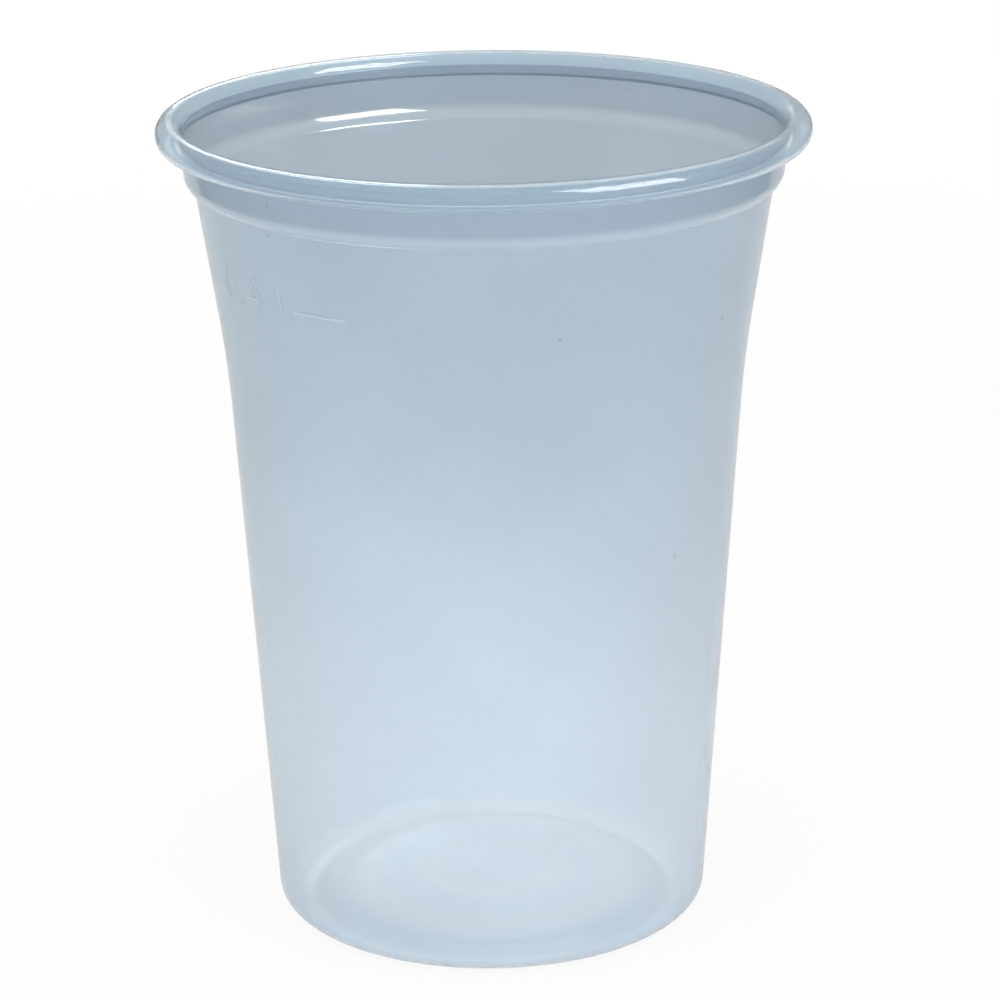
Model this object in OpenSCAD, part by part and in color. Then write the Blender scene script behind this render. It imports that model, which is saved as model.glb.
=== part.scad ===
// Disposable drinking cup, thermoformed in one piece from a thin plastic sheet.
// The section is drawn once, as the outer face of the sheet from the middle of the
// base up to the rolled rim, and the inner face follows it at the sheet's thickness.
// Origin: middle of the ring that the cup stands on. Units: millimetres, +Z up.

/* [Cup] */
// Height over the rolled rim
cup_h = 121.5; // [112:0.5:150]
// Outer diameter over the rolled rim
rim_d = 95; // [92:0.5:102]
// Outer diameter of the side wall, carried straight down to the ground
base_d = 64.6; // [60:0.2:70]

/* [Side wall] */
// Height at which the plain taper turns into the flared mouth
flare_h = 85.6; // [60:0.2:94]
// Outer diameter where the taper and the flare meet
flare_d = 76.1; // [72:0.1:80]
// Radius of the long curve between the taper and the flare
flare_r = 180; // [40:5:260]

/* [Plastic thickness] */
// Thickness of the side wall
wall_t = 0.4; // [0.3:0.05:0.8]
// Thickness of the base
base_t = 0.5; // [0.35:0.05:0.9]
// Thickness of the neck and the rolled rim
rim_t = 0.45; // [0.3:0.05:0.6]

/* [Rolled rim] */
// Outer diameter of the roll
roll_d = 3.95; // [3.4:0.05:5.5]
// Angle through which the sheet's edge is rolled
roll_angle = 300; // [200:5:305]

/* [Neck and stacking shoulder] */
// Height from the step under the shoulder to the top of the rim
neck_h = 10; // [9:0.1:16]
// Lean of the neck away from upright, in degrees
neck_draft = 4; // [0:0.5:6]
// Width that the shoulder stands out from the side wall
shoulder_w = 1.4; // [0.8:0.1:2.4]
// Slope of the shoulder above level, in degrees
shoulder_slope = 32; // [10:1:45]
// Rounding of the shoulder, on its inner face
shoulder_r = 2.3; // [0.5:0.1:3]
// Rounding of the hollow under the shoulder, on its outer face
step_r = 0.3; // [0.1:0.1:1]

/* [Base] */
// Rounding between the base and the side wall, on the inner face
heel_r = 2.8; // [1.5:0.1:5]
// Radial width of the standing ring, with its heel
foot_w = 5.6; // [4.8:0.1:6.4]
// Radial width of the slope from the standing ring up to the ledge
foot_slope_w = 1.6; // [1:0.1:2.4]
// Radial width of the ledge
ledge_w = 1.3; // [0.6:0.1:2]
// Height of the ledge over the ground
ledge_h = 1.6; // [1:0.05:2.4]
// Radial width of the slope from the ledge up to the raised panel
panel_slope_w = 3.8; // [2:0.1:4.6]
// Height of the panel over the ground
panel_h = 2.85; // [2.5:0.05:5]
// Diameter of the raised disc in the middle
disc_d = 19.4; // [12:0.2:22]
// Height of the disc over the panel
disc_rise = 0.6; // [0.2:0.05:1.5]
// Radial width of the bevel around the disc
disc_bevel_w = 0.9; // [0.5:0.1:2]
// Rounding of the edges pressed into the base, on their tight side
press_r = 0.8; // [0.3:0.1:1.5]

/* [Hidden] */

// Steps in the round: degrees of an arc for one side, and the fewest sides of an arc
arc_step = 12;
arc_sides_min = 4;
// Share of a straight side that the roundings at its two ends may use together
side_share = 0.98;
// A corner that turns by less than this stays a point, in degrees
turn_min = 0.01;
// Length taken for two corners that have no rounding, so that nothing is divided by zero
reach_min = 0.001;
ring_fn = 180;
plastic = [0.76, 0.83, 0.89, 0.6];

// The roll's centre, and the radius of the sheet's outer face, which lies inside the roll
roll_centre = [rim_d / 2 - roll_d / 2, cup_h - roll_d / 2];
roll_face_r = roll_d / 2 - rim_t;
// The neck leaves the roll along its tangent
roll_start_a = 180 - neck_draft;
neck_top = roll_centre + roll_face_r * [cos(roll_start_a), sin(roll_start_a)];

function neck_radius(z) = neck_top[0] - (neck_top[1] - z) * tan(neck_draft);

step_z = cup_h - neck_h;
step_rad = neck_radius(step_z) - shoulder_w;
// The sloped shoulder meets the leaning neck here, before it is rounded
shoulder_rise = shoulder_w * tan(shoulder_slope) / (1 - tan(shoulder_slope) * tan(neck_draft));
shoulder_z = step_z + shoulder_rise;

// The base's rings are set out inward from the side wall's foot
foot_rad = base_d / 2 - foot_w;
ledge_outer_rad = foot_rad - foot_slope_w;
ledge_inner_rad = ledge_outer_rad - ledge_w;
panel_rad = ledge_inner_rad - panel_slope_w;
disc_rad = disc_d / 2;

// Corners of the sheet's outer face: radius, height, rounding, thickness of the sheet
corners = [
    [0, panel_h + disc_rise, 0, base_t],
    [disc_rad, panel_h + disc_rise, press_r, base_t],
    [disc_rad + disc_bevel_w, panel_h, press_r, base_t],
    [panel_rad, panel_h, press_r, base_t],
    [ledge_inner_rad, ledge_h, press_r, base_t],
    [ledge_outer_rad, ledge_h, press_r, base_t],
    [foot_rad, 0, press_r, base_t],
    [base_d / 2, 0, heel_r, wall_t],
    [flare_d / 2, flare_h, flare_r, wall_t],
    [step_rad, step_z, step_r, wall_t],
    [neck_radius(shoulder_z), shoulder_z, shoulder_r, rim_t],
    [neck_top[0], neck_top[1], 0, rim_t]
];

last = len(corners) - 1;

function xy(p) = [p[0], p[1]];
function unit(v) = v / norm(v);
function left_of(v) = [-v[1], v[0]];
function side(i) = xy(corners[i + 1]) - xy(corners[i]);

// Turn at a corner, positive to the left
function turn(i) =
    i == 0 || i == last ? 0 :
    let (u = side(i - 1), v = side(i))
    atan2(u[0] * v[1] - u[1] * v[0], u * v);

// A left turn is tight on the inner face, so there the outer face takes the rounding
// and the sheet's thickness together
function wanted_r(i) = corners[i][2] + (turn(i) > 0 ? corners[i][3] : 0);
function reach(i) = wanted_r(i) * tan(abs(turn(i)) / 2);

// Roundings that would meet on a short side are both made smaller
function side_fit(i) = min(1, side_share * norm(side(i)) / max(reach(i) + reach(i + 1), reach_min));
function corner_fit(i) = min(side_fit(i - 1), side_fit(i));

// One rounded corner, as points that carry the sheet's thickness
function rounded(i) =
    let (
        b = xy(corners[i]),
        t = corners[i][3],
        u = unit(side(i - 1)),
        a = turn(i),
        r = wanted_r(i) * corner_fit(i),
        start = b - u * reach(i) * corner_fit(i),
        centre = start + left_of(u) * sign(a) * r,
        arm = start - centre,
        sides = max(arc_sides_min, ceil(abs(a) / arc_step))
    )
    abs(a) < turn_min ? [[b[0], b[1], t]] :
    [for (k = [0:sides])
        let (
            s = a * k / sides,
            p = centre + [arm[0] * cos(s) - arm[1] * sin(s), arm[0] * sin(s) + arm[1] * cos(s)]
        )
        [p[0], p[1], t]
    ];

function corner_point(i) = [corners[i][0], corners[i][1], corners[i][3]];

// The outer face from the middle of the base to the top of the neck
wall_face = [
    corner_point(0),
    for (i = [1:last - 1]) each rounded(i),
    corner_point(last)
];

// The same face through the roll, up, outward, down and back under
roll_sides = ceil(roll_angle / arc_step);
roll_face = [
    for (i = [1:roll_sides])
        let (s = roll_start_a - roll_angle * i / roll_sides)
        [roll_centre[0] + roll_face_r * cos(s), roll_centre[1] + roll_face_r * sin(s), rim_t]
];

outer_face = concat(wall_face, roll_face);

// The inner face lies at the sheet's thickness, square to the outer one
function face_normal(pts, i) =
    let (
        n = len(pts) - 1,
        a = xy(pts[max(i - 1, 0)]),
        b = xy(pts[i]),
        c = xy(pts[min(i + 1, n)]),
        n_in = i == 0 ? left_of(unit(c - b)) : left_of(unit(b - a)),
        n_out = i == n ? n_in : left_of(unit(c - b)),
        m = unit(n_in + n_out)
    )
    m / (m * n_out);

inner_face = [
    for (i = [0:len(outer_face) - 1])
        xy(outer_face[i]) + outer_face[i][2] * face_normal(outer_face, i)
];

module cup() {
    color(plastic)
        rotate_extrude($fn = ring_fn)
            polygon(concat(
                [for (p = outer_face) xy(p)],
                [for (i = [len(inner_face) - 1:-1:0]) inner_face[i]]
            ));
}

cup();
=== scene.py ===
"""A drinking cup, thermoformed in one piece from a thin sheet of milky plastic."""

import math
from collections import namedtuple

import bmesh
import bpy
from bpy.props import FloatProperty, FloatVectorProperty, IntProperty, PointerProperty
from bpy.types import NodeSocket, Operator, Panel, PropertyGroup
from mathutils import Matrix, Vector


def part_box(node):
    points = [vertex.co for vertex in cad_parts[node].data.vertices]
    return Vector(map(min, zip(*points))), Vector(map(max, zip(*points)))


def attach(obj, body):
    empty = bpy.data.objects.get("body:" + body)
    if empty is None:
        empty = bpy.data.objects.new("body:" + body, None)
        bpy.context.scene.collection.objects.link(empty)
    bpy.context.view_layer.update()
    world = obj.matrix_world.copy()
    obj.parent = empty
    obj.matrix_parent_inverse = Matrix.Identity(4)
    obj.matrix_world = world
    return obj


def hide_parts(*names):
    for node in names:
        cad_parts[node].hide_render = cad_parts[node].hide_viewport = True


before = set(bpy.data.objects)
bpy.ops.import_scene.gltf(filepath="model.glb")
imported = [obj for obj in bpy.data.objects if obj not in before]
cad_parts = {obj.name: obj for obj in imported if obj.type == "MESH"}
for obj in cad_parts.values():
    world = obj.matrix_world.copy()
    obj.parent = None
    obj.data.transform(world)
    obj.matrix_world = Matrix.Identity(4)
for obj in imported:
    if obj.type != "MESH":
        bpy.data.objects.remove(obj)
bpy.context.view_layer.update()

bl_info = {
    "name": "Milky drinking cup",
    "version": (1, 0, 0),
    "blender": (4, 5, 0),
    "location": "View3D > Sidebar > Cup",
    "description": "Turns a thin-walled cup from its section, with its fill mark and a plain studio",
    "category": "Object",
}

MM = 0.001
BODY = "root"
NODE = "cup"
CUP_LOW, CUP_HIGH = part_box(NODE)
CUP_HEIGHT = CUP_HIGH.z - CUP_LOW.z
# The frame's rim has flat sides, and its narrower way across keeps the round one inside it
RIM_DIAMETER = min(CUP_HIGH.x - CUP_LOW.x, CUP_HIGH.y - CUP_LOW.y)


# Settings in the sidebar


def length(name, default_mm, description):
    """A size in the sidebar, given here in millimetres."""
    return FloatProperty(name=name, description=description, default=default_mm * MM,
                         min=0.0, subtype="DISTANCE", precision=5)


def angle(name, default_degrees, description):
    """An angle in the sidebar, given here in degrees."""
    return FloatProperty(name=name, description=description,
                         default=math.radians(default_degrees), subtype="ANGLE")


def colour(name, default, description):
    """A linear colour in the sidebar."""
    return FloatVectorProperty(name=name, description=description, default=default,
                               min=0.0, max=1.0, subtype="COLOR", size=3)


def number(name, default, description, low=0.0, high=1000.0):
    """A plain number in the sidebar."""
    return FloatProperty(name=name, description=description, default=default, min=low, max=high)


class CupSizes(PropertyGroup):
    """Sizes of the cup's section. The outer face of the sheet is drawn, and the inner one follows."""

    height: FloatProperty(name="Height", description="Height over the rolled rim",
                          default=CUP_HEIGHT, subtype="DISTANCE", precision=5)
    rim_diameter: FloatProperty(name="Rim", description="Diameter over the rolled rim",
                                default=RIM_DIAMETER, subtype="DISTANCE", precision=5)
    base_diameter: length("Base", 64.6, "Diameter of the side wall carried down to the ground")
    flare_height: length("Flare height", 85.6, "Height at which the taper turns into the flare")
    flare_diameter: length("Flare diameter", 76.1, "Diameter where taper and flare meet")
    flare_radius: length("Flare radius", 180.0, "Radius of the long curve between them")
    wall_sheet: length("Wall sheet", 0.4, "Thickness of the side wall")
    base_sheet: length("Base sheet", 0.5, "Thickness of the base")
    rim_sheet: length("Rim sheet", 0.45, "Thickness of the neck and the rolled rim")
    roll_diameter: length("Roll", 3.95, "Diameter over the roll of the rim")
    roll_angle: angle("Roll angle", 300.0, "Angle through which the edge is rolled")
    neck_height: length("Neck height", 10.0, "Height from the hollow step to the top of the rim")
    neck_draft: angle("Neck draft", 4.0, "Lean of the neck away from upright")
    shoulder_width: length("Shoulder", 1.4, "Width that the shoulder stands out from the wall")
    shoulder_slope: angle("Shoulder slope", 32.0, "Slope of the shoulder above level")
    shoulder_radius: length("Shoulder rounding", 2.3, "Rounding of the shoulder, inside")
    step_radius: length("Step rounding", 0.3, "Rounding of the hollow under the shoulder")
    heel_radius: length("Heel rounding", 2.8, "Rounding between base and wall, inside")
    foot_width: length("Foot width", 5.6, "Width of the standing ring with its heel")
    foot_slope_width: length("Foot slope", 1.6, "Width of the slope from the ring up to the ledge")
    ledge_width: length("Ledge", 1.3, "Width of the ledge")
    ledge_height: length("Ledge height", 1.6, "Height of the ledge over the ground")
    panel_slope_width: length("Panel slope", 3.8, "Width of the slope up to the raised panel")
    panel_height: length("Panel height", 2.85, "Height of the panel over the ground")
    disc_diameter: length("Disc", 19.4, "Diameter of the raised disc in the middle")
    disc_rise: length("Disc rise", 0.6, "Height of the disc over the panel")
    disc_bevel_width: length("Disc bevel", 0.9, "Width of the bevel around the disc")
    press_radius: length("Pressed rounding", 0.8, "Rounding of the edges pressed into the base")
    ring_sides: IntProperty(name="Sides", description="Sides of the cup in the round",
                            default=256, min=24, max=720)
    arc_step: angle("Arc step", 6.0, "Degrees of a rounding for one side")


class MarkSizes(PropertyGroup):
    """Sizes of the moulded fill mark: a line and a plain figure beside it."""

    level: length("Level", 100.0, "Height of the fill line over the ground")
    azimuth: angle("Azimuth", -41.4, "Direction of the line's near end, seen from the front")
    line_length: length("Line", 9.2, "Length of the fill line around the wall")
    figure_height: length("Figure height", 4.4, "Height of the figures")
    figure_width: length("Figure width", 2.9, "Width of one figure")
    figure_drop: length("Figure drop", 1.0, "How far the figures' feet stand below the line")
    stroke_width: length("Stroke", 0.42, "Width of a moulded stroke")
    stroke_rise: length("Rise", 0.08, "Height of a stroke over the wall")
    stroke_root: length("Root", 0.03, "Depth to which a stroke is set into the wall")


class PlasticLook(PropertyGroup):
    """Colours and finish of the milky plastic."""

    roll_colour: colour("Roll colour", (0.67, 0.76, 0.82), "Colour of the rolled rim")
    # Darker under the rim: partly a thicker sheet, partly painted shade of the rolled rim
    neck_colour_and_shade: colour("Neck colour", (0.47, 0.56, 0.63), "Colour of the neck under the rim")
    # Wall and low colours: darker at the top, paler at the foot, partly the sheet's own haze and
    # partly painted light
    wall_colour: colour("Wall colour", (0.56, 0.65, 0.72), "Colour at the top of the side wall")
    low_colour: colour("Low colour", (0.81, 0.895, 0.96), "Colour at the foot of the side wall")
    # The base's own colour, which also climbs the lower wall as a painted shade just above the base
    base_colour_and_shade: colour("Base colour", (0.73, 0.825, 0.905), "Colour of the base and its heel")
    # Painted highlight: the pale colour of the rings along the pressed edges
    pressed_highlight_colour: colour("Pressed colour", (0.97, 0.99, 1.0), "Colour of the pressed edges")
    # Paler than the wall around it: a painted highlight on the strokes
    mark_colour_and_highlight: colour("Mark colour", (0.64, 0.75, 0.83), "Colour of the moulded mark")
    glow_colour: colour("Glow colour", (0.66, 0.77, 0.85), "Colour of light from behind")
    glow: number("Glow", 0.08, "Share of the light from behind that a face spreads", 0, 1)
    clearness: number("Clearness", 0.715, "Share of the other light that passes a face", 0, 1)
    base_clearness: number("Base clearness", 0.50, "Clearness of the pressed base", 0, 1)
    mark_clearness: number("Mark clearness", 0.60, "Clearness of the moulded mark", 0, 1)
    polish: number("Polish", 0.08, "Roughness of the moulded faces", 0, 1)
    index: number("Index", 1.49, "Index of refraction", 1, 2)
    shade_pass: colour("Shade", (0.50, 0.53, 0.56), "Share of the lamps' light that passes a face")
    roll_glow: number("Roll glow", 0.03, "Glow of the rolled rim", 0, 1)
    roll_clearness: number("Roll clearness", 0.90, "Clearness of the rolled rim", 0, 1)
    roll_polish: number("Roll polish", 0.08, "Roughness of the rolled rim", 0, 1)
    roll_index: number("Roll index", 1.26, "Index of refraction of the rolled rim", 1, 2)
    roll_shade: colour("Roll shade", (0.79, 0.81, 0.83), "The same share, for the rolled rim")


class StudioLook(PropertyGroup):
    """The camera's lens, the lamps and the room."""

    focal_length: number("Focal length", 137.75, "Focal length in millimetres, 36 mm sensor", 1)
    key_brightness: number("Key", 24.0, "Brightness of the panel that draws the highlights")
    front_brightness: number("Front", 10.4, "Brightness of the soft panel in front")
    left_brightness: number("Left", 7.9, "Brightness of the soft panel on the left")
    right_brightness: number("Right", 8.1, "Brightness of the soft panel on the right")
    top_brightness: number("Top", 5.6, "Brightness of the panel above")
    back_brightness: number("Back", 3.0, "Brightness of the panel behind on the left")
    room_brightness: number("Room", 0.22, "Brightness of the room around")


# Objects, trees and nodes


def placed(name, data):
    """A new object in the scene, at the origin."""
    made = bpy.data.objects.new(name, data)
    bpy.context.scene.collection.objects.link(made)
    return made


def wire(name, points, edges):
    """An object of points in one plane, joined by edges."""
    mesh = bpy.data.meshes.new(name)
    mesh.from_pydata([(x, y, 0.0) for x, y in points], edges, [])
    return placed(name, mesh)


def settled(source, name):
    """The evaluated object as a plain mesh of its own, without its modifiers."""
    bpy.context.view_layer.update()
    graph = bpy.context.evaluated_depsgraph_get()
    mesh = bpy.data.meshes.new_from_object(source.evaluated_get(graph))
    mesh.name = name
    kept = {"position", "material_index", "sharp_face", "sharp_edge"}
    for attribute in [a.name for a in mesh.attributes]:
        if attribute not in kept and not attribute.startswith("."):
            mesh.attributes.remove(mesh.attributes[attribute])
    bpy.data.objects.remove(source)
    return placed(name, mesh)


def run_tree(source, tree, values, name):
    """What a Geometry Nodes tree makes of an object, as a plain mesh. Inputs are given by name."""
    modifier = source.modifiers.new(tree.name, "NODES")
    modifier.node_group = tree
    identifiers = {item.name: item.identifier for item in tree.interface.items_tree
                   if item.item_type == "SOCKET" and item.in_out == "INPUT"}
    for socket, value in values.items():
        modifier[identifiers[socket]] = value
    return settled(source, name)


def new_tree(name, kind, inputs, outputs):
    """A node tree with named sockets of the kinds given, and the sockets to start and end at."""
    tree = bpy.data.node_groups.new(name, kind)
    for way, sockets in (("INPUT", inputs), ("OUTPUT", outputs)):
        for socket, socket_kind in sockets.items():
            tree.interface.new_socket(socket, in_out=way, socket_type="NodeSocket" + socket_kind)
    given = tree.nodes.new("NodeGroupInput").outputs
    result = tree.nodes.new("NodeGroupOutput").inputs
    return tree, given, result


def shared_group(name, build):
    """A shader node group, built once for every material that uses it."""
    return bpy.data.node_groups.get(name) or build()


def cleared_tree(owner):
    """The empty node tree of a material or a world."""
    owner.use_nodes = True
    owner.node_tree.nodes.clear()
    return owner.node_tree


def feed(tree, target, value):
    """Links a socket to an input, or writes a plain value into it."""
    if isinstance(value, NodeSocket):
        tree.links.new(value, target)
    else:
        target.default_value = value


def new_node(tree, kind, **values):
    """A node with its properties and inputs set by name. An input takes a value or a socket."""
    made = tree.nodes.new(kind)
    for name, value in values.items():
        if hasattr(made, name):
            setattr(made, name, value)
        else:
            feed(tree, made.inputs[name.replace("_", " ")], value)
    return made


def output(tree, kind, *values, **settings):
    """The first output of a node whose inputs take these values or sockets in their order."""
    made = new_node(tree, kind, **settings)
    for target, value in zip(made.inputs, values):
        feed(tree, target, value)
    return made.outputs[0]


def maths(tree, operation, *values):
    """The result of one operation on numbers."""
    return output(tree, "ShaderNodeMath", *values, operation=operation)


def vectors(tree, operation, *values):
    """The result of one operation on vectors."""
    return output(tree, "ShaderNodeVectorMath", *values, operation=operation)


def scaled(tree, vector, factor):
    """A vector times a number."""
    made = new_node(tree, "ShaderNodeVectorMath", operation="SCALE", Vector=vector, Scale=factor)
    return made.outputs[0]


def length_of(tree, vector):
    """A vector's length."""
    made = new_node(tree, "ShaderNodeVectorMath", operation="LENGTH", Vector=vector)
    return made.outputs["Value"]


def coordinates(tree, vector):
    """A vector's X, Y and Z."""
    return new_node(tree, "ShaderNodeSeparateXYZ", Vector=vector).outputs


def radius_of(tree, place):
    """How far a point with these coordinates lies from the upright axis."""
    flat = output(tree, "ShaderNodeCombineXYZ", X=place["X"], Y=place["Y"])
    return length_of(tree, flat)


def compared(tree, operation, value, limit):
    """Whether a field's number lies beyond a limit."""
    made = new_node(tree, "FunctionNodeCompare", data_type="FLOAT", operation=operation,
                    A=value, B=limit)
    return made.outputs["Result"]


def attribute_field(tree, name, kind):
    """The values of a named attribute."""
    made = new_node(tree, "GeometryNodeInputNamedAttribute", data_type=kind, Name=name)
    return made.outputs["Attribute"]


def object_field(tree, given_object):
    """The geometry of an object given to the tree."""
    return new_node(tree, "GeometryNodeObjectInfo", Object=given_object).outputs["Geometry"]


def painted(tree, geometry, material, where=True):
    """Geometry with a material on the chosen faces."""
    return output(tree, "GeometryNodeSetMaterial", geometry, where, material)


# The section of the sheet

# Share of a straight side that the roundings at its two ends may use together
SIDE_SHARE = 0.98
ROUND_SIDES_MIN = 6
# The flare's long curve turns too little for the arc step, so its sides are stated
FLARE_SIDES = 28
# Radius of the ring that the section runs along, which leaves the cup's size alone
PATH_RADIUS = 10 * MM
MERGE_DISTANCE = 0.002 * MM
SHARP_ANGLE = math.radians(40)
# Above this height the sheet takes the rolled rim's material
ROLL_FOOT = 116.8 * MM

Corner = namedtuple("Corner", "radius height rounding sheet")


def corner_list(s):
    """Corners of the outer face, from the middle of the base up to the edge of the roll."""
    roll_radius = s.roll_diameter / 2
    roll_x = s.rim_diameter / 2 - roll_radius
    roll_z = s.height - roll_radius
    face_radius = roll_radius - s.rim_sheet
    start = math.pi - s.neck_draft
    neck_x = roll_x + face_radius * math.cos(start)
    neck_z = roll_z + face_radius * math.sin(start)

    def neck_radius(z):
        return neck_x - (neck_z - z) * math.tan(s.neck_draft)

    step_z = s.height - s.neck_height
    step_x = neck_radius(step_z) - s.shoulder_width
    slope = math.tan(s.shoulder_slope)
    shoulder_z = step_z + s.shoulder_width * slope / (1 - slope * math.tan(s.neck_draft))
    foot_x = s.base_diameter / 2 - s.foot_width
    ledge_outer_x = foot_x - s.foot_slope_width
    ledge_inner_x = ledge_outer_x - s.ledge_width
    panel_x = ledge_inner_x - s.panel_slope_width
    disc_x = s.disc_diameter / 2
    disc_z = s.panel_height + s.disc_rise
    press = s.press_radius
    corners = [
        Corner(0.0, disc_z, 0.0, s.base_sheet),
        Corner(disc_x, disc_z, press, s.base_sheet),
        Corner(disc_x + s.disc_bevel_width, s.panel_height, press, s.base_sheet),
        Corner(panel_x, s.panel_height, press, s.base_sheet),
        Corner(ledge_inner_x, s.ledge_height, press, s.base_sheet),
        Corner(ledge_outer_x, s.ledge_height, press, s.base_sheet),
        Corner(foot_x, 0.0, press, s.base_sheet),
        Corner(s.base_diameter / 2, 0.0, s.heel_radius, s.wall_sheet),
        Corner(s.flare_diameter / 2, s.flare_height, s.flare_radius, s.wall_sheet),
        Corner(step_x, step_z, s.step_radius, s.wall_sheet),
        Corner(neck_radius(shoulder_z), shoulder_z, s.shoulder_radius, s.rim_sheet),
        Corner(neck_x, neck_z, 0.0, s.rim_sheet),
    ]
    roll_sides = math.ceil(s.roll_angle / s.arc_step)
    for k in range(1, roll_sides + 1):
        a = start - s.roll_angle * k / roll_sides
        corners.append(Corner(roll_x + face_radius * math.cos(a),
                              roll_z + face_radius * math.sin(a), 0.0, s.rim_sheet))
    return corners


def roundings(corners, s):
    """Radius and number of sides of each corner's rounding on the outer face."""
    points = [Vector((c.radius, c.height)) for c in corners]
    last = len(points) - 1
    turns = [0.0] * len(points)
    for i in range(1, last):
        u = points[i] - points[i - 1]
        v = points[i + 1] - points[i]
        turns[i] = math.atan2(u.x * v.y - u.y * v.x, u.dot(v))
    # A left turn is tight on the inner face, so the outer face adds the sheet's thickness
    wanted = [c.rounding + c.sheet * (turn > 0 and c.rounding > 0)
              for c, turn in zip(corners, turns)]
    reach = [r * math.tan(abs(turn) / 2) for r, turn in zip(wanted, turns)]
    fit = [1.0] * (last + 1)
    for i in range(last):
        both = reach[i] + reach[i + 1]
        side = (points[i + 1] - points[i]).length * SIDE_SHARE
        if both > side:
            fit[i] = min(fit[i], side / both)
            fit[i + 1] = min(fit[i + 1], side / both)
    radii = [r * f for r, f in zip(wanted, fit)]
    sides = [max(ROUND_SIDES_MIN, math.ceil(abs(turn) / s.arc_step)) for turn in turns]
    for i, c in enumerate(corners):
        if c.rounding == s.flare_radius:
            sides[i] = FLARE_SIDES
    return radii, sides


def section_object(s):
    """The outer face's corners as a chain of edges that carries each corner's rounding and sheet."""
    corners = corner_list(s)
    radii, sides = roundings(corners, s)
    # A swept profile's Y points down, so heights are turned over here
    made = wire("cup_section", [(c.radius, -c.height) for c in corners],
                [(i, i + 1) for i in range(len(corners) - 1)])
    for name, kind, values in (("rounding", "FLOAT", radii),
                               ("round_sides", "INT", sides),
                               ("sheet", "FLOAT", [c.sheet for c in corners])):
        made.data.attributes.new(name, kind, "POINT").data.foreach_set("value", values)
    return made


def lathe_tree():
    """Rounds a chain of corners, turns it about Z and gives the face the thickness of its sheet."""
    tree, given, result = new_tree("Turned sheet", "GeometryNodeTree", {
        "Section": "Geometry", "Sides": "Int", "Path Radius": "Float", "Merge Distance": "Float",
        "Sharp Angle": "Float", "Material": "Material", "Roll Material": "Material",
        "Roll Foot": "Float", "Base Material": "Material", "Base Radius": "Float",
    }, {"Cup": "Geometry"})

    # The rounded section, shifted so that its axis falls on the middle of the ring it runs along
    chain = output(tree, "GeometryNodeMeshToCurve", given["Section"])
    fillet = new_node(tree, "GeometryNodeFilletCurve", mode="POLY", Limit_Radius=False, Curve=chain,
                      Radius=attribute_field(tree, "rounding", "FLOAT"),
                      Count=attribute_field(tree, "round_sides", "INT"))
    back = maths(tree, "MULTIPLY", given["Path Radius"], -1.0)
    shift = output(tree, "ShaderNodeCombineXYZ", X=back)
    profile = new_node(tree, "GeometryNodeSetPosition", Geometry=fillet.outputs["Curve"],
                       Offset=shift)
    ring = new_node(tree, "GeometryNodeCurvePrimitiveCircle", Resolution=given["Sides"],
                    Radius=given["Path Radius"])
    turned = new_node(tree, "GeometryNodeCurveToMesh", Curve=ring.outputs["Curve"],
                      Profile_Curve=profile.outputs["Geometry"])
    outer = output(tree, "GeometryNodeFlipFaces", turned.outputs["Mesh"])
    outer = output(tree, "GeometryNodeMergeByDistance", Geometry=outer,
                   Distance=given["Merge Distance"])

    # The inner face, at the sheet's thickness
    inward = maths(tree, "MULTIPLY", attribute_field(tree, "sheet", "FLOAT"), -1.0)
    normal = new_node(tree, "GeometryNodeInputNormal").outputs["Normal"]
    thick = new_node(tree, "GeometryNodeExtrudeMesh", mode="FACES", Individual=False, Mesh=outer,
                     Offset=scaled(tree, normal, inward), Offset_Scale=1.0)
    inner = output(tree, "GeometryNodeFlipFaces", thick.outputs["Mesh"])
    both = new_node(tree, "GeometryNodeJoinGeometry", Geometry=outer)
    tree.links.new(inner, both.inputs["Geometry"])
    closed = output(tree, "GeometryNodeMergeByDistance", Geometry=both.outputs["Geometry"],
                    Distance=given["Merge Distance"])

    smooth = output(tree, "GeometryNodeSetShadeSmooth", domain="FACE", Geometry=closed,
                    Shade_Smooth=True)
    bend = new_node(tree, "GeometryNodeInputMeshEdgeAngle").outputs["Unsigned Angle"]
    creased = output(tree, "GeometryNodeSetShadeSmooth", domain="EDGE", Geometry=smooth,
                     Selection=compared(tree, "GREATER_THAN", bend, given["Sharp Angle"]),
                     Shade_Smooth=False)
    cup = output(tree, "GeometryNodeRealizeInstances", creased)
    place = coordinates(tree, output(tree, "GeometryNodeInputPosition"))
    is_roll = compared(tree, "GREATER_THAN", place["Z"], given["Roll Foot"])
    is_base = compared(tree, "LESS_THAN", radius_of(tree, place), given["Base Radius"])
    cup = painted(tree, cup, given["Material"])
    cup = painted(tree, cup, given["Roll Material"], is_roll)
    cup = painted(tree, cup, given["Base Material"], is_base)
    tree.links.new(cup, result["Cup"])
    return tree


def make_cup(sizes, material, roll_material, base_material):
    """The cup as one closed shell."""
    return run_tree(section_object(sizes), lathe_tree(), {
        "Sides": sizes.ring_sides,
        "Path Radius": PATH_RADIUS,
        "Merge Distance": MERGE_DISTANCE,
        "Sharp Angle": SHARP_ANGLE,
        "Material": material,
        "Roll Material": roll_material,
        "Roll Foot": ROLL_FOOT,
        "Base Material": base_material,
        "Base Radius": sizes.base_diameter / 2 - sizes.foot_width,
    }, "cup_shell")


# The moulded fill mark

# Middles of the figures, measured around the wall from the near end of the line
ZERO_X = -15.5 * MM
POINT_X = -12.1 * MM
FOUR_X = -8.4 * MM
LITRE_X = -2.6 * MM
# The four's bar stands at this share of its height, its stem this share of its width off the middle
BAR_SHARE = 0.3
STEM_SHARE = 0.22
ZERO_SIDES = 40
RIB_SIDES = 10
# Distance from point to point of a stroke, how far out the rays to the wall start, and the wall's
# radius at the mark, which turns a distance around it into an angle
STROKE_POINT_DISTANCE = 0.25 * MM
RAY_START = 60 * MM
MARK_WALL_RADIUS = 40.3 * MM


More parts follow.
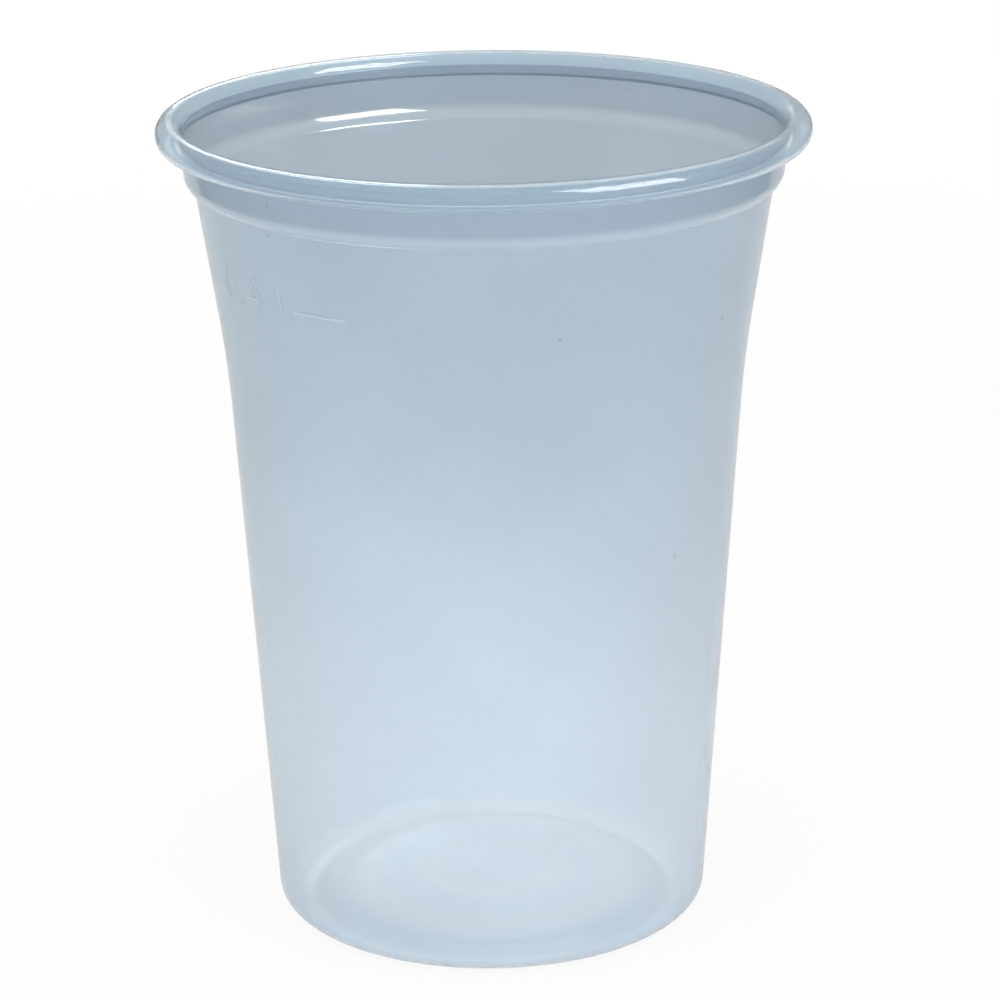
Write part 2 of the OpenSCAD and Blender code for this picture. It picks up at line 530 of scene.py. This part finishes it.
def mark_strokes(m):
    """Strokes of the mark on the unrolled wall: lists of points, distance around and height."""
    foot = m.level - m.figure_drop
    high = m.figure_height
    wide = m.figure_width
    ring = []
    for k in range(ZERO_SIDES + 1):
        a = 2 * math.pi * k / ZERO_SIDES
        ring.append((ZERO_X + wide / 2 * math.cos(a), foot + high / 2 + high / 2 * math.sin(a)))
    bar_z = foot + BAR_SHARE * high
    stem_x = FOUR_X + STEM_SHARE * wide
    left_x = FOUR_X - wide / 2
    point = m.stroke_width / 2
    return [
        ring,
        [(POINT_X - point, foot + point), (POINT_X + point, foot + point)],
        [(stem_x, foot + high), (left_x, bar_z)],
        [(left_x, bar_z), (FOUR_X + wide / 2, bar_z)],
        [(stem_x, foot + high), (stem_x, foot)],
        [(LITRE_X, foot + high), (LITRE_X, foot)],
        [(0.0, m.level), (m.line_length, m.level)],
    ]


def strokes_object(m):
    """The strokes as chains of edges in the plane of the unrolled wall."""
    points, edges = [], []
    for stroke in mark_strokes(m):
        first = len(points)
        points += stroke
        edges += [(first + i, first + i + 1) for i in range(len(stroke) - 1)]
    return wire("mark_strokes", points, edges)


def rib_profile(m):
    """Closed outline of one stroke across its run: rounded on top, with its root in the wall."""
    half = m.stroke_width / 2
    points = [(half, m.stroke_root)]
    for k in range(RIB_SIDES + 1):
        a = math.pi * k / RIB_SIDES
        points.append((half * math.cos(a), -m.stroke_rise * math.sin(a)))
    points.append((-half, m.stroke_root))
    return wire("rib_profile", points, [(i, (i + 1) % len(points)) for i in range(len(points))])


def ribs_tree():
    """Sweeps a rib along flat strokes and lays them on the wall, found by rays from outside."""
    tree, given, result = new_tree("Moulded ribs", "GeometryNodeTree", {
        "Strokes": "Geometry", "Rib": "Object", "Wall": "Object", "Point Distance": "Float",
        "Azimuth": "Float", "Wall Radius": "Float", "Ray Start": "Float", "Material": "Material",
    }, {"Ribs": "Geometry"})

    chain = output(tree, "GeometryNodeMeshToCurve", given["Strokes"])
    fine = output(tree, "GeometryNodeResampleCurve", mode="LENGTH", Curve=chain,
                  Length=given["Point Distance"])
    upright = output(tree, "GeometryNodeSetCurveNormal", fine, mode="Z_UP")
    rib = output(tree, "GeometryNodeMeshToCurve", object_field(tree, given["Rib"]))
    swept = output(tree, "GeometryNodeCurveToMesh", Curve=upright, Profile_Curve=rib,
                   Fill_Caps=True)

    # X runs around the wall and Y up it, and a ray finds the wall there
    place = coordinates(tree, output(tree, "GeometryNodeInputPosition"))
    around = maths(tree, "DIVIDE", place["X"], given["Wall Radius"])
    turn = maths(tree, "ADD", around, given["Azimuth"])
    front = maths(tree, "MULTIPLY", maths(tree, "COSINE", turn), -1.0)
    out = output(tree, "ShaderNodeCombineXYZ", X=maths(tree, "SINE", turn), Y=front)
    level = output(tree, "ShaderNodeCombineXYZ", Z=place["Y"])
    start = vectors(tree, "ADD", scaled(tree, out, given["Ray Start"]), level)
    ray = new_node(tree, "GeometryNodeRaycast", Source_Position=start,
                   Target_Geometry=object_field(tree, given["Wall"]),
                   Ray_Direction=scaled(tree, out, -1.0)).outputs
    lift = scaled(tree, ray["Hit Normal"], place["Z"])
    on_wall = vectors(tree, "ADD", ray["Hit Position"], lift)
    laid = output(tree, "GeometryNodeSetPosition", Geometry=swept, Position=on_wall)
    smooth = output(tree, "GeometryNodeSetShadeSmooth", domain="FACE", Geometry=laid,
                    Shade_Smooth=True)
    real = output(tree, "GeometryNodeRealizeInstances", smooth)
    tree.links.new(painted(tree, real, given["Material"]), result["Ribs"])
    return tree


def faces_outward(mesh):
    """Turns the faces of closed forms outward, after their doubles are merged."""
    form = bmesh.new()
    form.from_mesh(mesh)
    bmesh.ops.remove_doubles(form, verts=form.verts, dist=MERGE_DISTANCE)
    bmesh.ops.recalc_face_normals(form, faces=form.faces)
    form.to_mesh(mesh)
    form.free()


def make_mark(sizes, wall, material):
    """The fill line and its figure, as fine ribs that follow the wall."""
    rib = rib_profile(sizes)
    piece = run_tree(strokes_object(sizes), ribs_tree(), {
        "Rib": rib,
        "Wall": wall,
        "Point Distance": STROKE_POINT_DISTANCE,
        "Azimuth": sizes.azimuth,
        "Wall Radius": MARK_WALL_RADIUS,
        "Ray Start": RAY_START,
        "Material": material,
    }, "fill_mark")
    bpy.data.objects.remove(rib)
    faces_outward(piece.data)
    return piece


# The plastic

# Heights between which the sheet's colour turns from one to the next
COLOUR_HEIGHTS = {
    # Low: the darker base colour reaches up the wall to here, a painted shade just above the base
    "Low": (2.0 * MM, 16.0 * MM),
    # Wall: the wall darkens from its foot to its top, partly the sheet's own haze and partly painted
    # light
    "Wall": (14.0 * MM, 111.5 * MM),
    # Neck: darker under the rim, partly a thicker sheet and partly painted shade of the rolled rim
    "Neck": (112.5 * MM, 114.0 * MM),
}
SHEET_COLOURS = ("Base", "Low", "Wall", "Neck", "Pressed")
# Painted highlights along the pressed edges of the base, as pale rings: radius in millimetres, share
# of the paler colour there
PAINTED_EDGE_HIGHLIGHTS = (
    (8.4, 0.0), (9.2, 0.95), (10.4, 0.95), (11.3, 0.0), (17.8, 0.1), (19.2, 1.0), (21.8, 0.8),
    (23.4, 0.4), (24.2, 0.0), (25.6, 0.1), (26.6, 0.7), (27.6, 0.0), (29.6, 0.0), (30.3, 1.0),
    (31.0, 1.0), (31.6, 0.0),
)
PRESSED_RADIUS = 36.0 * MM
SHEET_FINISH = {
    # Height under which the pressed edges take their painted highlight, and radius at which its ramp
    # ends
    "Pressed Top": 5.0 * MM,
    "Pressed Radius": PRESSED_RADIUS,
    # How far clouds move the colour, and clouds to the metre
    "Cloud": 0.16,
    "Cloud Scale": 28.0,
    # Cells to the metre, a speck's radius in its cell, share of cells with a speck, its darkness
    "Speck Scale": 300.0,
    "Speck Size": 0.07,
    "Speck Share": 0.05,
    "Speck Depth": 0.35,
}
CLOUD_DETAIL = 3.0
NOISE_MIDDLE = 0.5
# The mould's ripple: waves to the metre, the noise's usual low and high, the depth of the waves,
# and how far the polish drifts with them
RIPPLE_SCALE = 90.0
RIPPLE_DETAIL = 1.0
RIPPLE_LOW = 0.3
RIPPLE_HIGH = 0.7
RIPPLE_DEPTH = 0.08 * MM
POLISH_DRIFT = 0.025
# Sockets of a Mix node that mixes colours
MIX_FROM = 6
MIX_TO = 7
MIX_RESULT = 2


def mixed_colour(tree, share, first, second):
    """The first colour, turned into the second by a share."""
    made = new_node(tree, "ShaderNodeMix", data_type="RGBA", Factor=share)
    feed(tree, made.inputs[MIX_FROM], first)
    feed(tree, made.inputs[MIX_TO], second)
    return made.outputs[MIX_RESULT]


def sheet_group():
    """Colours the sheet by its height, with painted shade and light in it, pale rings of painted
    highlight on the pressed base, faint clouds and a few dark specks.
    """
    inputs = {name: "Color" for name in SHEET_COLOURS}
    for name in COLOUR_HEIGHTS:
        inputs[name + " From"] = "Float"
        inputs[name + " To"] = "Float"
    inputs.update({name: "Float" for name in SHEET_FINISH})
    tree, given, result = new_tree("Sheet colour", "ShaderNodeTree", inputs, {"Colour": "Color"})
    place = new_node(tree, "ShaderNodeTexCoord").outputs["Object"]
    split = coordinates(tree, place)

    # The pressed edges of the base, as pale rings around its middle: painted highlights
    outward = maths(tree, "DIVIDE", radius_of(tree, split), given["Pressed Radius"])
    rings = new_node(tree, "ShaderNodeValToRGB", Fac=outward)
    stops = rings.color_ramp.elements
    for i, (ring_radius, share) in enumerate(PAINTED_EDGE_HIGHLIGHTS):
        place_in_ramp = ring_radius * MM / PRESSED_RADIUS
        stop = stops[i] if i < len(stops) else stops.new(place_in_ramp)
        stop.position = place_in_ramp
        stop.color = (share, share, share, 1)
    low = maths(tree, "LESS_THAN", split["Z"], given["Pressed Top"])
    pressed = maths(tree, "MULTIPLY", rings.outputs["Color"], low)
    colour_so_far = mixed_colour(tree, pressed, given["Base"], given["Pressed"])
    for name in COLOUR_HEIGHTS:
        share = new_node(tree, "ShaderNodeMapRange", interpolation_type="SMOOTHSTEP",
                         Value=split["Z"], From_Min=given[name + " From"],
                         From_Max=given[name + " To"]).outputs["Result"]
        colour_so_far = mixed_colour(tree, share, colour_so_far, given[name])

    # Clouds move the colour up and down by a few hundredths
    clouds = new_node(tree, "ShaderNodeTexNoise", Vector=place, Scale=given["Cloud Scale"],
                      Detail=CLOUD_DETAIL).outputs["Fac"]
    centred = maths(tree, "SUBTRACT", clouds, NOISE_MIDDLE)
    drift = maths(tree, "MULTIPLY_ADD", centred, given["Cloud"], 1.0)

    # A speck is the middle of a cell, in a small share of the cells
    cells = new_node(tree, "ShaderNodeTexVoronoi", feature="F1", Vector=place,
                     Scale=given["Speck Scale"]).outputs
    near = maths(tree, "LESS_THAN", cells["Distance"], given["Speck Size"])
    draw = new_node(tree, "ShaderNodeSeparateColor", Color=cells["Color"]).outputs["Red"]
    chosen = maths(tree, "LESS_THAN", draw, given["Speck Share"])
    lost = maths(tree, "MULTIPLY", maths(tree, "MULTIPLY", near, chosen), given["Speck Depth"])
    kept = maths(tree, "SUBTRACT", drift, lost)
    tree.links.new(scaled(tree, colour_so_far, kept), result["Colour"])
    return tree


def face_group():
    """Varies the polish of a moulded face a little, and gives it the mould's faint ripple."""
    tree, given, result = new_tree(
        "Moulded face", "ShaderNodeTree",
        {"Polish": "Float", "Dull": "Float", "Ripple Scale": "Float"},
        {"Roughness": "Float", "Height": "Float"})
    place = new_node(tree, "ShaderNodeTexCoord").outputs["Object"]
    ripple = new_node(tree, "ShaderNodeTexNoise", Vector=place, Scale=given["Ripple Scale"],
                      Detail=RIPPLE_DETAIL).outputs["Fac"]
    rough = new_node(tree, "ShaderNodeMapRange", Value=ripple,
                     From_Min=RIPPLE_LOW, From_Max=RIPPLE_HIGH,
                     To_Min=given["Polish"], To_Max=given["Dull"]).outputs["Result"]
    tree.links.new(rough, result["Roughness"])
    tree.links.new(ripple, result["Height"])
    return tree


def milky(name, look, clearness, glow, polish, index, passing_share):
    """Plastic that passes part of the light through each face and scatters the rest to both sides."""
    material = bpy.data.materials.new(name)
    tree = cleared_tree(material)
    face = new_node(tree, "ShaderNodeGroup", node_tree=shared_group("Moulded face", face_group),
                    Polish=polish - POLISH_DRIFT, Dull=polish + POLISH_DRIFT,
                    Ripple_Scale=RIPPLE_SCALE).outputs
    bump = new_node(tree, "ShaderNodeBump", Strength=1.0, Distance=RIPPLE_DEPTH,
                    Height=face["Height"])
    shade = new_node(tree, "ShaderNodeBsdfPrincipled", IOR=index, Transmission_Weight=clearness,
                     Roughness=face["Roughness"], Normal=bump.outputs["Normal"])
    behind = output(tree, "ShaderNodeBsdfTranslucent", Color=(*look.glow_colour, 1))
    milk = output(tree, "ShaderNodeMixShader", glow, shade.outputs[0], behind)
    # Shadow rays and rays from matt faces go straight through, in the passing share
    path = new_node(tree, "ShaderNodeLightPath").outputs
    passing = maths(tree, "MAXIMUM", path["Is Shadow Ray"], path["Is Diffuse Ray"])
    clear = output(tree, "ShaderNodeBsdfTransparent", Color=(*passing_share, 1))
    mix = output(tree, "ShaderNodeMixShader", passing, milk, clear)
    new_node(tree, "ShaderNodeOutputMaterial", Surface=mix)
    return material, shade


def finish_of(look, clearness):
    """Clearness, glow, polish, index and shade of every part but the rolled rim."""
    return clearness, look.glow, look.polish, look.index, look.shade_pass


def sheet_plastic(name, look, finish, colours):
    """The cup's own sheet, in its colours from the base to the neck, with the painted shade and light
    they carry.
    """
    material, shade = milky(name, look, *finish)
    tree = material.node_tree
    tint = new_node(tree, "ShaderNodeGroup", node_tree=shared_group("Sheet colour", sheet_group))
    for part, value in zip(SHEET_COLOURS, colours):
        tint.inputs[part].default_value = (*value, 1)
    for part, (low, high) in COLOUR_HEIGHTS.items():
        tint.inputs[part + " From"].default_value = low
        tint.inputs[part + " To"].default_value = high
    for part, value in SHEET_FINISH.items():
        tint.inputs[part].default_value = value
    tree.links.new(tint.outputs["Colour"], shade.inputs["Base Color"])
    return material


def mark_plastic(look):
    """The raised strokes, less clear than the sheet, and paler than it as a painted highlight on the
    strokes.
    """
    material, shade = milky("raised_plastic", look, *finish_of(look, look.mark_clearness))
    shade.inputs["Base Color"].default_value = (*look.mark_colour_and_highlight, 1)
    return material


# The studio

# Where the camera aims and stands, and how far it leans
AIM = Vector((1.82 * MM, 0.0, 62.55 * MM))
CAMERA_PLACE = Vector((0.0, -543.39 * MM, 238.13 * MM))
CAMERA_ROLL = math.radians(-0.564)
SENSOR_WIDTH = 36.0
NEAREST = 0.01
FARTHEST = 50.0
FLOOR_HALF = 4.0
FLOOR_COLOUR = (0.86, 0.87, 0.88, 1)
WHITE = (1, 1, 1, 1)
# Share of plain white in the floor near the cup, and how far out it starts to rise and is full
WHITE_SHARE = 0.93
SHADOW_ROOM = 0.25
WHITE_FROM = 0.60
# Reflections see a pale table with a round front edge, and a darker floor in front of it
TABLE_CENTRE = Vector((0.0, 106 * MM, 0.0))
TABLE_RADIUS = 281 * MM
TABLE_BLUR = 6 * MM
TABLE_MIRRORED = 0.78
BEYOND_MIRRORED = 0.15
ROOM_MIRRORED = 0.35
LAMP_AIM = Vector((0.0, 0.0, 60 * MM))
# Each panel's azimuth and elevation in degrees, and its distance, width and height in metres
PANELS = {
    "key": (55, 38, 1.1, 0.7, 0.6),
    "front": (0, 2, 1.0, 1.6, 0.18),
    "left": (-65, 2, 1.1, 1.0, 0.20),
    "right": (65, 2, 1.1, 1.0, 0.20),
    "top": (0, 82, 1.2, 0.8, 0.8),
    "back": (187, 15, 1.05, 0.2, 0.2),
}


def make_camera(look):
    """The camera at the photograph's viewing angle."""
    data = bpy.data.cameras.new("camera")
    data.lens = look.focal_length
    data.sensor_width = SENSOR_WIDTH
    data.clip_start = NEAREST
    data.clip_end = FARTHEST
    camera = placed("camera", data)
    camera.location = CAMERA_PLACE
    turn = (AIM - CAMERA_PLACE).to_track_quat("-Z", "Y")
    camera.rotation_mode = "QUATERNION"
    camera.rotation_quaternion = turn @ Matrix.Rotation(CAMERA_ROLL, 3, "Z").to_quaternion()
    bpy.context.scene.camera = camera


def white_for_sight(tree, plain, share, mirrored):
    """The plain shader. A share of it is white where seen, and of the mirrored strength in gloss."""
    path = new_node(tree, "ShaderNodeLightPath").outputs
    direct = maths(tree, "MAXIMUM", path["Is Camera Ray"], path["Is Transmission Ray"])
    gloss = maths(tree, "MULTIPLY", path["Is Glossy Ray"], mirrored)
    strength = maths(tree, "MAXIMUM", direct, gloss)
    glow = output(tree, "ShaderNodeEmission", Color=WHITE, Strength=strength)
    seen = maths(tree, "MAXIMUM", direct, path["Is Glossy Ray"])
    part = maths(tree, "MULTIPLY", seen, share)
    return output(tree, "ShaderNodeMixShader", part, plain, glow)


def floor_paint():
    """A pale floor that keeps the cup's shadow, with the table that reflections see."""
    material = bpy.data.materials.new("pale_floor")
    tree = cleared_tree(material)
    place = new_node(tree, "ShaderNodeTexCoord").outputs["Object"]
    # Behind its middle the table goes on as wide as it is there
    off = vectors(tree, "SUBTRACT", place, TABLE_CENTRE)
    ahead = vectors(tree, "MINIMUM", off, (FLOOR_HALF, 0.0, FLOOR_HALF))
    table = new_node(tree, "ShaderNodeMapRange", Value=length_of(tree, ahead),
                     From_Min=TABLE_RADIUS - TABLE_BLUR, From_Max=TABLE_RADIUS + TABLE_BLUR,
                     To_Min=TABLE_MIRRORED, To_Max=BEYOND_MIRRORED).outputs["Result"]
    # Away from the cup, where its shadow has ended, the floor is white throughout
    share = new_node(tree, "ShaderNodeMapRange", interpolation_type="SMOOTHSTEP",
                     Value=length_of(tree, place), From_Min=SHADOW_ROOM, From_Max=WHITE_FROM,
                     To_Min=WHITE_SHARE).outputs["Result"]
    paint = output(tree, "ShaderNodeBsdfDiffuse", Color=FLOOR_COLOUR)
    mix = white_for_sight(tree, paint, share, table)
    new_node(tree, "ShaderNodeOutputMaterial", Surface=mix)
    return material


def make_floor():
    """A wide pale floor."""
    mesh = bpy.data.meshes.new("floor")
    h = FLOOR_HALF
    mesh.from_pydata([(-h, -h, 0), (h, -h, 0), (h, h, 0), (-h, h, 0)], [], [(0, 1, 2, 3)])
    mesh.materials.append(floor_paint())
    floor = placed("floor", mesh)


def make_room(look):
    """An even pale room, white where it is seen."""
    world = bpy.data.worlds.new("room")
    bpy.context.scene.world = world
    tree = cleared_tree(world)
    even = output(tree, "ShaderNodeBackground", Color=WHITE, Strength=look.room_brightness)
    mix = white_for_sight(tree, even, 1.0, ROOM_MIRRORED)
    new_node(tree, "ShaderNodeOutputWorld", Surface=mix)


def panel(name, azimuth, elevation, distance, wide, high, brightness):
    """A soft panel that faces the cup. Azimuth 0 is the camera's side, positive to the right."""
    data = bpy.data.lights.new(name, "AREA")
    data.shape = "RECTANGLE"
    data.size = wide
    data.size_y = high
    data.energy = brightness * math.pi * wide * high
    lamp = placed(name, data)
    a, e = math.radians(azimuth), math.radians(elevation)
    toward = Vector((math.sin(a) * math.cos(e), -math.cos(a) * math.cos(e), math.sin(e)))
    lamp.location = LAMP_AIM + toward * distance
    lamp.rotation_mode = "QUATERNION"
    lamp.rotation_quaternion = (-toward).to_track_quat("-Z", "Y")
    return lamp


def make_lamps(look):
    """The panels. The key only draws highlights, and no other panel draws any."""
    for name, sizes in PANELS.items():
        lamp = panel(name, *sizes, getattr(look, name + "_brightness"))
        lamp.visible_diffuse = name != "key"
        lamp.visible_glossy = name == "key"
        lamp.visible_transmission = name in ("key", "back")


# Operators, panel and registration


class OBJECT_OT_cup_shell(Operator):
    """Turn the cup's shell from its section"""

    bl_idname = "object.cup_shell"
    bl_label = "Cup Shell"

    def execute(self, context):
        scene = context.scene
        look = scene.cup_plastic
        colours = (look.base_colour_and_shade, look.low_colour, look.wall_colour, look.neck_colour_and_shade,
                   look.pressed_highlight_colour)
        roll_finish = (look.roll_clearness, look.roll_glow, look.roll_polish, look.roll_index,
                       look.roll_shade)
        sheet = sheet_plastic("milky_plastic", look, finish_of(look, look.clearness), colours)
        roll = sheet_plastic("rolled_plastic", look, roll_finish, [look.roll_colour] * len(colours))
        base = sheet_plastic("base_plastic", look, finish_of(look, look.base_clearness), colours)
        piece = make_cup(scene.cup_sizes, sheet, roll, base)
        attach(piece, BODY)
        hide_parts(NODE)
        return {"FINISHED"}


class OBJECT_OT_cup_mark(Operator):
    """Lay the moulded fill mark on the cup's wall"""

    bl_idname = "object.cup_mark"
    bl_label = "Fill Mark"

    def execute(self, context):
        scene = context.scene
        wall = scene.objects.get("cup_shell")
        if wall is None:
            raise RuntimeError("make the cup's shell first")
        piece = make_mark(scene.cup_mark, wall, mark_plastic(scene.cup_plastic))
        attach(piece, BODY)
        return {"FINISHED"}


class SCENE_OT_cup_studio(Operator):
    """Set up the camera, the floor, the room and the soft lamps"""

    bl_idname = "scene.cup_studio"
    bl_label = "Studio"

    def execute(self, context):
        look = context.scene.cup_studio
        make_camera(look)
        make_floor()
        make_room(look)
        make_lamps(look)
        context.scene.view_settings.view_transform = "Standard"
        return {"FINISHED"}


class VIEW3D_PT_cup(Panel):
    """Sidebar panel that lists the cup's sizes and its makers"""

    bl_label = "Drinking Cup"
    bl_idname = "VIEW3D_PT_cup"
    bl_space_type = "VIEW_3D"
    bl_region_type = "UI"
    bl_category = "Cup"

    def draw(self, context):
        scene = context.scene
        for operator, group in (("scene.cup_studio", scene.cup_studio),
                                ("object.cup_shell", scene.cup_sizes),
                                ("object.cup_mark", scene.cup_mark)):
            box = self.layout.box()
            box.operator(operator)
            for name in group.__annotations__:
                box.prop(group, name)
        box = self.layout.box()
        for name in PlasticLook.__annotations__:
            box.prop(scene.cup_plastic, name)


SETTINGS = {
    "cup_sizes": CupSizes,
    "cup_mark": MarkSizes,
    "cup_plastic": PlasticLook,
    "cup_studio": StudioLook,
}
CLASSES = (*SETTINGS.values(),
           OBJECT_OT_cup_shell, OBJECT_OT_cup_mark, SCENE_OT_cup_studio, VIEW3D_PT_cup)


def register():
    """Adds the classes and the scene's settings."""
    for each in CLASSES:
        bpy.utils.register_class(each)
    for name, group in SETTINGS.items():
        setattr(bpy.types.Scene, name, PointerProperty(type=group))


def unregister():
    """Takes them out again."""
    for name in SETTINGS:
        delattr(bpy.types.Scene, name)
    for each in reversed(CLASSES):
        bpy.utils.unregister_class(each)


def main():
    """Makes the cup and its studio."""
    register()
    bpy.ops.scene.cup_studio()
    bpy.ops.object.cup_shell()
    bpy.ops.object.cup_mark()


if __name__ == "__main__":
    main()
